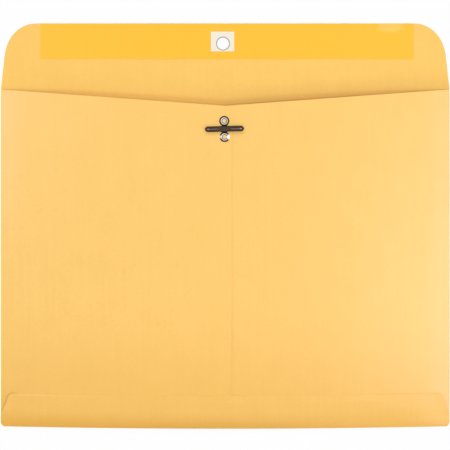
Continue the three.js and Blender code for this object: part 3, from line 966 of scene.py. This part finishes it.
bend_start, bend_end = PRONG_HINGE - BEND_REACH, PRONG_HINGE + BEND_REACH
SHORT_OF_TIP = 0.05
tip_turns = even(0, math.pi / 2 - SHORT_OF_TIP, 10)[1:]
prong_stations = runs(0, 3, bend_start, 10, bend_end, 26, TIP_CENTRE)
prong_stations += [PRONG_REACH - PRONG_WIDTH / 2 * (1 - math.sin(turn)) for turn in tip_turns]
across_prong = [math.sin(turn) for turn in even(-math.pi / 2, math.pi / 2, 18)]
prongs = {}
for side, name in ((-1, "left_prong"), (1, "right_prong")):
    strip = paper_sheet(name + "_strip", prong_stations, across_prong, prong_place(side), PRONG)
    bm = bmesh.new()
    bm.from_mesh(strip.data)
    to_clasp(bm)
    bm.to_mesh(strip.data)
    bm.free()
    rounding = strip.modifiers.new("rounding", "BEVEL")
    rounding.width = PRONG_EDGE
    rounding.segments = 2
    rounding.limit_method = "ANGLE"
    rounding.angle_limit = PRONG_EDGE_ANGLE
    bake_modifiers(strip)
    smooth_by_angle(strip, PRONG_SOFT_UNDER)
    prongs[name] = strip
    print(name, [round(extent / MM, 2) for extent in strip.dimensions], "mm")

# %% [markdown]
# ## Materials
# Kraft paper is brown because its fibres aren't bleached. Close up it is a felt of long fibres
# with a cloudy formation, so its colour is one tone with a faint mottle and short strokes in it.
# The pattern reads the unfolded sheet's map, so it runs on across the folds. All papers share
# one group of nodes. It gives a tint to multiply the paper's own colour by, and a normal with
# the finest tooth of the felt.

# %% Paper group
CLOUD_SCALE = 55
GRAIN_SCALE = 420
LENGTHWISE = (260, 1900, 1)
CROSSWISE = (2100, 320, 1)
STREAKS = (330, 14, 1)
TOOTH_SCALE = 1500
FIBRE_CUT = (0.26, 0.42)
CLOUD_SHARE = 0.55
STREAK_SHARE = 0.3
GRAIN_SHARE = 0.15
BLUE_SWING = 2.4
TOOTH = 0.03 * MM


def new_group(name, inputs, outputs):
    """An empty node group with named sockets, its wires, and its two ends."""
    group = bpy.data.node_groups.new(name, "ShaderNodeTree")
    for way, sockets in (("INPUT", inputs), ("OUTPUT", outputs)):
        for socket_name, kind in sockets:
            group.interface.new_socket(socket_name, in_out=way, socket_type="NodeSocket" + kind)
    wires = Wires(group)
    entry = group.nodes.new("NodeGroupInput")
    leave = group.nodes.new("NodeGroupOutput")
    return group, wires, entry.outputs, leave.inputs


def paper_group():
    """Mottle and fibres for any paper: a tint to multiply the colour by, and a bumpy normal."""
    group, wires, given, result = new_group(
        "paper_felt",
        [("Mottle", "Float"), ("Fibres", "Float"), ("Bump", "Float")],
        [("Tint", "Color"), ("Normal", "Vector")],
    )
    flat = wires.unfolded()
    cloud = wires.noise(flat, CLOUD_SCALE, detail=5, roughness=0.62)
    grain = wires.noise(flat, GRAIN_SCALE, detail=3, roughness=0.6)
    lengthwise = wires.noise(wires.stretched(flat, LENGTHWISE), 1, detail=1)
    crosswise = wires.noise(wires.stretched(flat, CROSSWISE), 1, detail=1)
    dark = wires.maths("MINIMUM", *(
        wires.ramp(fibres, *FIBRE_CUT) for fibres in (lengthwise, crosswise)
    ))
    streaks = wires.noise(wires.stretched(flat, STREAKS), 1, detail=2)
    mottle = wires.times(cloud, CLOUD_SHARE)
    mottle = wires.plus(mottle, wires.times(streaks, STREAK_SHARE))
    mottle = wires.plus(mottle, wires.times(grain, GRAIN_SHARE))
    mottle = wires.times(wires.minus(mottle, 0.5), given["Mottle"])
    stroke = wires.times(wires.minus(dark, 1.0), given["Fibres"])
    level = wires.plus(wires.plus(mottle, stroke), 1.0)
    deeper = wires.minus(wires.times(level, BLUE_SWING), BLUE_SWING - 1)
    tone = wires.node("CombineColor", {"Red": level, "Green": level, "Blue": deeper})
    wires.join(tone.outputs["Color"], result["Tint"])
    tooth = wires.noise(flat, TOOTH_SCALE, detail=3)
    bump = wires.node("Bump", {"Strength": given["Bump"], "Distance": TOOTH, "Height": tooth})
    wires.join(bump.outputs["Normal"], result["Normal"])
    return group


FELT = paper_group()
print("paper group", len(FELT.nodes), "nodes")


def paint_paper(wires, principled, tone, mottle, fibres, bump):
    """Lays the felt over a tone: the tint multiplies it, and the normal gives it tooth."""
    inputs = {"Mottle": mottle, "Fibres": fibres, "Bump": bump}
    made = wires.node("Group", inputs, node_tree=FELT)
    tinted = wires.mix(1.0, tone, made.outputs["Tint"], "MULTIPLY")
    wires.join(tinted, principled["Base Color"])
    wires.join(made.outputs["Normal"], principled["Normal"])


# %% [markdown]
# Colours are written in the usual steps of 0 to 255, and shaders work with linear light.

# %% Colours, and materials for each piece
def linear(red, green, blue):
    """A colour written in the usual 0 to 255 steps, as the shader's numbers."""
    def channel(value):
        value /= 255
        return value / 12.92 if value <= 0.04045 else ((value + 0.055) / 1.055) ** 2.4

    return (channel(red), channel(green), channel(blue), 1)


def finish_with(obj, slot_name, *materials):
    """Gives a piece its materials; slot_name is not used."""
    obj.data.materials.clear()
    for material in materials:
        obj.data.materials.append(material)
    print(obj.name, "is finished with", ", ".join(material.name for material in materials))


print("grey 128 is", round(linear(128, 128, 128)[0], 3), "in linear light")

# %% [markdown]
# Kraft paper is glazed on one side, so the outside of the envelope has a soft sheen and its
# inside, which shows on the open flap and in the throat, is dull. Painted shade darkens the
# paper along the bottom fold, most at its left end, and more faintly over the lower front.
# Painted shade also lies on the inside just above the throat, on the right. A painted sheen
# makes the paper a little paler along the right side fold, and along the upper half of the left
# one.

# %% Kraft paper
KRAFT = linear(248, 198, 107)
# The second colour is painted shade, for the bottom fold and the lower front.
PAINTED_SHADE = linear(227, 169, 70)
# The white that a painted sheen along the side folds mixes towards.
SHEEN_WHITE = linear(255, 255, 255)
KRAFT_FELT = {"mottle": 0.14, "fibres": 0.04, "bump": 0.35}
FOLD_SHADE = 0.63
FOLD_SHADE_WIDTH = 13 * MM
RIGHT_END_SHARE = 0.5
FADES_RIGHTWARD = (-20 * MM, 120 * MM)
FRONT_SHADE = 0.36
FRONT_SHADE_HEIGHTS = (15 * MM, 90 * MM)
EDGE_SHEEN = 0.04
EDGE_SHEEN_WIDTHS = (3 * MM, 20 * MM)
LEFT_SHEEN_HEIGHTS = (-35 * MM, 35 * MM)

kraft, wires, principled = new_material("kraft")
across, up = wires.split(wires.unfolded())
from_fold = wires.minus(FLAP_MAP_START, up)
on_flap = wires.maths("GREATER_THAN", from_fold, 0.0)
# Painted shade along the bottom fold, on the bottom flap only, fading towards the right end.
near = wires.ramp(from_fold, 0.0, FOLD_SHADE_WIDTH, FOLD_SHADE, 0.0)
near = wires.times(near, wires.ramp(across, *FADES_RIGHTWARD, 1.0, RIGHT_END_SHARE))
low, high = (bottom_y + height for height in FRONT_SHADE_HEIGHTS)
# Fainter painted shade over the lower front, fading out upwards.
lower_shade = wires.ramp(up, low, high, FRONT_SHADE, 0.0)
shade_share = wires.plus(wires.times(near, on_flap), lower_shade)
tone = wires.mix(shade_share, KRAFT, PAINTED_SHADE)

# Painted sheen: paler along the right side fold and the upper half of the left one, off the bottom
# flap.
side_fold = fold_x + SIDE_FOLD_RADIUS * math.pi / 2
from_side = wires.minus(wires.maths("ABSOLUTE", across), side_fold)
painted_highlight = wires.ramp(wires.maths("ABSOLUTE", from_side), *EDGE_SHEEN_WIDTHS, EDGE_SHEEN, 0.0)
upper_half = wires.ramp(up, *LEFT_SHEEN_HEIGHTS)
on_right = wires.maths("GREATER_THAN", across, 0.0)
painted_highlight = wires.times(painted_highlight, wires.maths("MAXIMUM", upper_half, on_right))
painted_highlight = wires.times(painted_highlight, wires.minus(1.0, on_flap))
paint_paper(wires, principled, wires.mix(painted_highlight, tone, SHEEN_WHITE), **KRAFT_FELT)
set_gloss(principled, 0.3, specular=0.38)
for sheet in (*side_sheets, bottom_sheet, paper_discs):
    finish_with(sheet, "kraft_paper", kraft)

# %% [markdown]
# The back sheet shows both of the paper's sides, so it has two materials. The faces that look
# down get the glazed outside, and the rest the dull inside. Painted shade just above the throat,
# on the right, follows the V of the lip.

# %% The paper's inside
INNER = linear(250, 199, 103)
# The colour of the painted shade on the inside just above the throat.
LIP_SHADE = linear(238, 189, 98)
LIP_SHADE_WIDTH = 17 * MM
LIP_SHADE_STARTS = (-40 * MM, 30 * MM)
LOOKS_DOWN = -0.5

inner, wires, principled = new_material("kraft_inner")
across, up = wires.split(wires.unfolded())
lip = wires.maths("ABSOLUTE", across)
lip = wires.times(lip, (THROAT_AT_SEAM - THROAT_AT_FOLD) / half_width)
lip = wires.plus(lip, crease_y - THROAT_AT_SEAM)
above_lip = wires.minus(up, lip)
# Painted shade just above the lip, fading upwards and in from the left.
by_lip = wires.ramp(above_lip, 0.0, LIP_SHADE_WIDTH, 1.0, 0.0)
lip_shade = wires.times(by_lip, wires.ramp(across, *LIP_SHADE_STARTS))
paint_paper(wires, principled, wires.mix(lip_shade, INNER, LIP_SHADE), **KRAFT_FELT)
set_gloss(principled, 0.7, specular=0.2)
finish_with(back_sheet, "kraft_paper", inner, kraft)
for face in back_sheet.data.polygons:
    face.material_index = int(face.normal.z < LOOKS_DOWN)

# %% [markdown]
# Dried gum is clear and yellow. It deepens the colour of the paper under it and smooths its
# surface, so it shines. Near its right end a touch has dulled it.

# %% Gum
GUM = linear(250, 189, 48)
DULLED = linear(250, 202, 104)
DULL_SPOT = (112 * MM, flap_top - 2.45 * MM)
DULL_SIZE = (10 * MM, 4 * MM)
DULL_EDGE = (0.4, 1.3)
DULL_SHARE = 0.6
WOBBLE = 1.4
WOBBLE_SCALE = 160
GUM_ROUGHNESS = 0.3
DULL_ROUGHNESS = 0.2

gum, wires, principled = new_material("dried_gum")
flat = wires.unfolded()
away = wires.minus(wires.noise(flat, WOBBLE_SCALE), 0.5)
away = wires.times(away, WOBBLE)
for place, middle, reach in zip(wires.split(flat), DULL_SPOT, DULL_SIZE):
    off = wires.maths("DIVIDE", wires.minus(place, middle), reach)
    away = wires.plus(away, wires.times(off, off))
dulled = wires.ramp(away, *DULL_EDGE, 1.0, 0.0)
tone = wires.mix(wires.times(dulled, DULL_SHARE), GUM, DULLED)
paint_paper(wires, principled, tone, mottle=0.08, fibres=0.03, bump=0.15)
set_gloss(principled, GUM_ROUGHNESS, specular=0.4)
rougher = wires.times(dulled, DULL_ROUGHNESS)
wires.join(wires.plus(rougher, GUM_ROUGHNESS), principled["Roughness"])
finish_with(gum_band, "gum", gum)

# %% [markdown]
# The label is a creamier white than the table, with a grey ring of painted shade where its rim is
# pressed into the hole.
# The glue is a dried film the colour of honey, which only shows where the paper is cut open.

# %% White patch and glue
LABEL = linear(239, 229, 211)
# Painted shade for the label's rim where it goes into the hole.
RIM_SHADE = linear(160, 150, 134)
GLUE = linear(222, 190, 130)
RIM_SHADE_BLUR = 0.2 * MM

patch_white, wires, principled = new_material("patch_white")
from_hole = wires.distance(wires.unfolded(), hole)
# A ring of painted shade at the edge of the hole.
rim = wires.ramp(from_hole, HOLE_RADIUS - RIM_SHADE_BLUR, HOLE_RADIUS + RIM_SHADE_BLUR, 1.0, 0.0)
tone = wires.mix(rim, LABEL, RIM_SHADE)
paint_paper(wires, principled, tone, mottle=0.06, fibres=0.03, bump=0.25)
set_gloss(principled, 0.6)
finish_with(patch, "white_paper", patch_white)

glue, wires, principled = new_material("glue")
principled["Base Color"].default_value = GLUE
set_gloss(principled, 0.4)
for film in (seam_film, bottom_film):
    finish_with(film, "dried_glue", glue)

# %% [markdown]
# The clasp is steel with a dark bronze finish. One group of nodes darkens it along every edge
# with painted shade, from how far a point lies within the outline.

# %% Bronze finish
BRONZE = linear(66, 51, 41)
# The painted shade along the clasp's edges.
SHADED = linear(34, 24, 20)
EDGE_SHADE = (0.05 * MM, 0.6 * MM)


def bronze_and_edge_shade_group():
    """The dark finish, with painted shade towards the edges, from how far a point lies within the
    outline.
    """
    group, wires, given, result = new_group(
        "bronze_and_edge_shade", [("Inside", "Float")], [("Tone", "Color")]
    )
    # Painted shade grows towards the outline.
    at_edge = wires.ramp(given["Inside"], *EDGE_SHADE, 1.0, 0.0)
    wires.join(wires.mix(at_edge, BRONZE, SHADED), result["Tone"])
    return group


BRONZE_AND_EDGE_SHADE = bronze_and_edge_shade_group()
print("bronze group", len(BRONZE_AND_EDGE_SHADE.nodes), "nodes")


def bronze_with_edge_shade(wires, inside):
    return wires.node("Group", {"Inside": inside}, node_tree=BRONZE_AND_EDGE_SHADE).outputs["Tone"]


# %% [markdown]
# A near-white painted highlight lies on both sides of the lower ring, fainter on the left, and the
# finish was never on the insides of the eyelets, which are drawn from bright metal. The plate
# reads
# Object coordinates, because it doesn't bend, and its two materials part where the funnels begin.

# %% Plate metal
BRIGHT = linear(226, 218, 212)
# The near-white painted highlight on the lower ring.
GLINT_WHITE = linear(250, 248, 246)
FUNNEL = 2.3 * MM
NOT_DOWN = -0.2
RIGHT_GLINT = (0.6 * MM, 1.5 * MM)
LEFT_GLINT = (-2.4 * MM, -1.6 * MM)
LEFT_GLINT_SHARE = 0.6
BRONZE_METALLIC = 0.9
BRONZE_ROUGHNESS = 0.38

bronze, wires, principled = new_material("bronzed_steel")
spot = wires.node("TexCoord").outputs["Object"]
across, up = wires.split(spot)
lower_ring = rings[0]
ring_top = Vector((0, 0, clasp_height + METAL))
from_ring = wires.maths("MINIMUM", *(wires.distance(spot, ring + ring_top) for ring in rings))
# Painted highlight on the lower ring's right side, and a fainter one on its left.
aside = wires.minus(across, lower_ring.x)
above = wires.maths("ABSOLUTE", wires.minus(up, lower_ring.y))
right = wires.ramp(wires.minus(aside, above), *RIGHT_GLINT)
left = wires.ramp(wires.plus(aside, above), *LEFT_GLINT, LEFT_GLINT_SHARE, 0.0)
painted_highlight = wires.maths("MAXIMUM", right, left)
inside = wires.minus(RING, from_ring)
wires.join(wires.mix(painted_highlight, bronze_with_edge_shade(wires, inside), GLINT_WHITE), principled["Base Color"])
set_gloss(principled, BRONZE_ROUGHNESS, metallic=BRONZE_METALLIC)

bright, wires, principled = new_material("bright_steel")
principled["Base Color"].default_value = BRIGHT
set_gloss(principled, 0.55, metallic=0.85)

finish_with(clasp_plate, "clasp_metal", bronze, bright)
for face in clasp_plate.data.polygons:
    away = min((face.center.xy - ring.xy).length for ring in rings)
    face.material_index = int(away < FUNNEL and face.normal.z > NOT_DOWN)

# %% [markdown]
# On the prongs a painted highlight runs along the crest of each rib, with a brighter painted dot
# near its outer end. The pattern reads each strip's own map, so it bends with the prong.

# %% Prong metal
# The painted highlight along each rib's crest.
CREST_HIGHLIGHT = linear(138, 124, 116)
CREST = 0.35 * MM
CREST_SHARE = 0.6
HIGHLIGHT_GROWS_OVER = 2 * MM
HIGHLIGHT_ENDS_OVER = 0.6 * MM
END_DOT = RIB_END - 0.7 * MM
END_DOT_SIZES = (0.2 * MM, 0.6 * MM)
END_DOT_SHARE = 0.5

ribbed, wires, principled = new_material("bronzed_rib")
outward, off_middle = wires.split(wires.unfolded())
# Painted highlight along the crest, growing in from the rib's start and ending before its tip.
crest = wires.ramp(wires.maths("ABSOLUTE", off_middle), 0.0, CREST, 1.0, 0.0)
along = wires.times(
    wires.ramp(outward, RIB_START, RIB_START + HIGHLIGHT_GROWS_OVER),
    wires.ramp(outward, RIB_END - HIGHLIGHT_ENDS_OVER, RIB_END, 1.0, 0.0),
)
painted_highlight = wires.times(wires.times(crest, along), CREST_SHARE)
past_side = wires.maths("MAXIMUM", wires.minus(outward, TIP_CENTRE), 0.0)
squares = (wires.maths("POWER", part, 2.0) for part in (past_side, off_middle))
from_middle = wires.maths("SQRT", wires.plus(*squares))
inside = wires.minus(PRONG_WIDTH / 2, from_middle)
tone = wires.mix(painted_highlight, bronze_with_edge_shade(wires, inside), CREST_HIGHLIGHT)
# A brighter painted highlight as a dot near the rib's outer end.
from_end = wires.maths("ABSOLUTE", wires.minus(outward, END_DOT))
end_dot = wires.times(wires.ramp(from_end, *END_DOT_SIZES, 1.0, 0.0), crest)
tone = wires.mix(wires.times(end_dot, END_DOT_SHARE), tone, BRIGHT)
wires.join(tone, principled["Base Color"])
set_gloss(principled, BRONZE_ROUGHNESS, metallic=BRONZE_METALLIC)
for strip in prongs.values():
    finish_with(strip, "clasp_metal", ribbed)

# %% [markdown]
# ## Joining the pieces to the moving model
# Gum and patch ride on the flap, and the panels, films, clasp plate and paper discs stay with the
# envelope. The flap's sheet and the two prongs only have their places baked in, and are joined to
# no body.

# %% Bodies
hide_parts("back_panel", "seal_flap")
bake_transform(back_sheet)
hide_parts("seal_gum")
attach(gum_band, "flap")
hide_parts("hole_patch")
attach(patch, "flap")
for piece, node in (
    (side_sheets[0], "left_side_panel"),
    (side_sheets[1], "right_side_panel"),
    (bottom_sheet, "bottom_flap"),
    (seam_film, "seam_glue"),
    (bottom_film, "bottom_flap_glue"),
    (clasp_plate, "clasp_base"),
):
    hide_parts(node)
    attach(piece, "envelope")
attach(paper_discs, "envelope")
for side, name in ((-1, "left_prong"), (1, "right_prong")):
    along = Vector((math.cos(CLASP_TURN), math.sin(CLASP_TURN), 0)) * side
    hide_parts(name)
    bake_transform(prongs[name])

# %% [markdown]
# ## The end
# Dressing the model mustn't change its size.
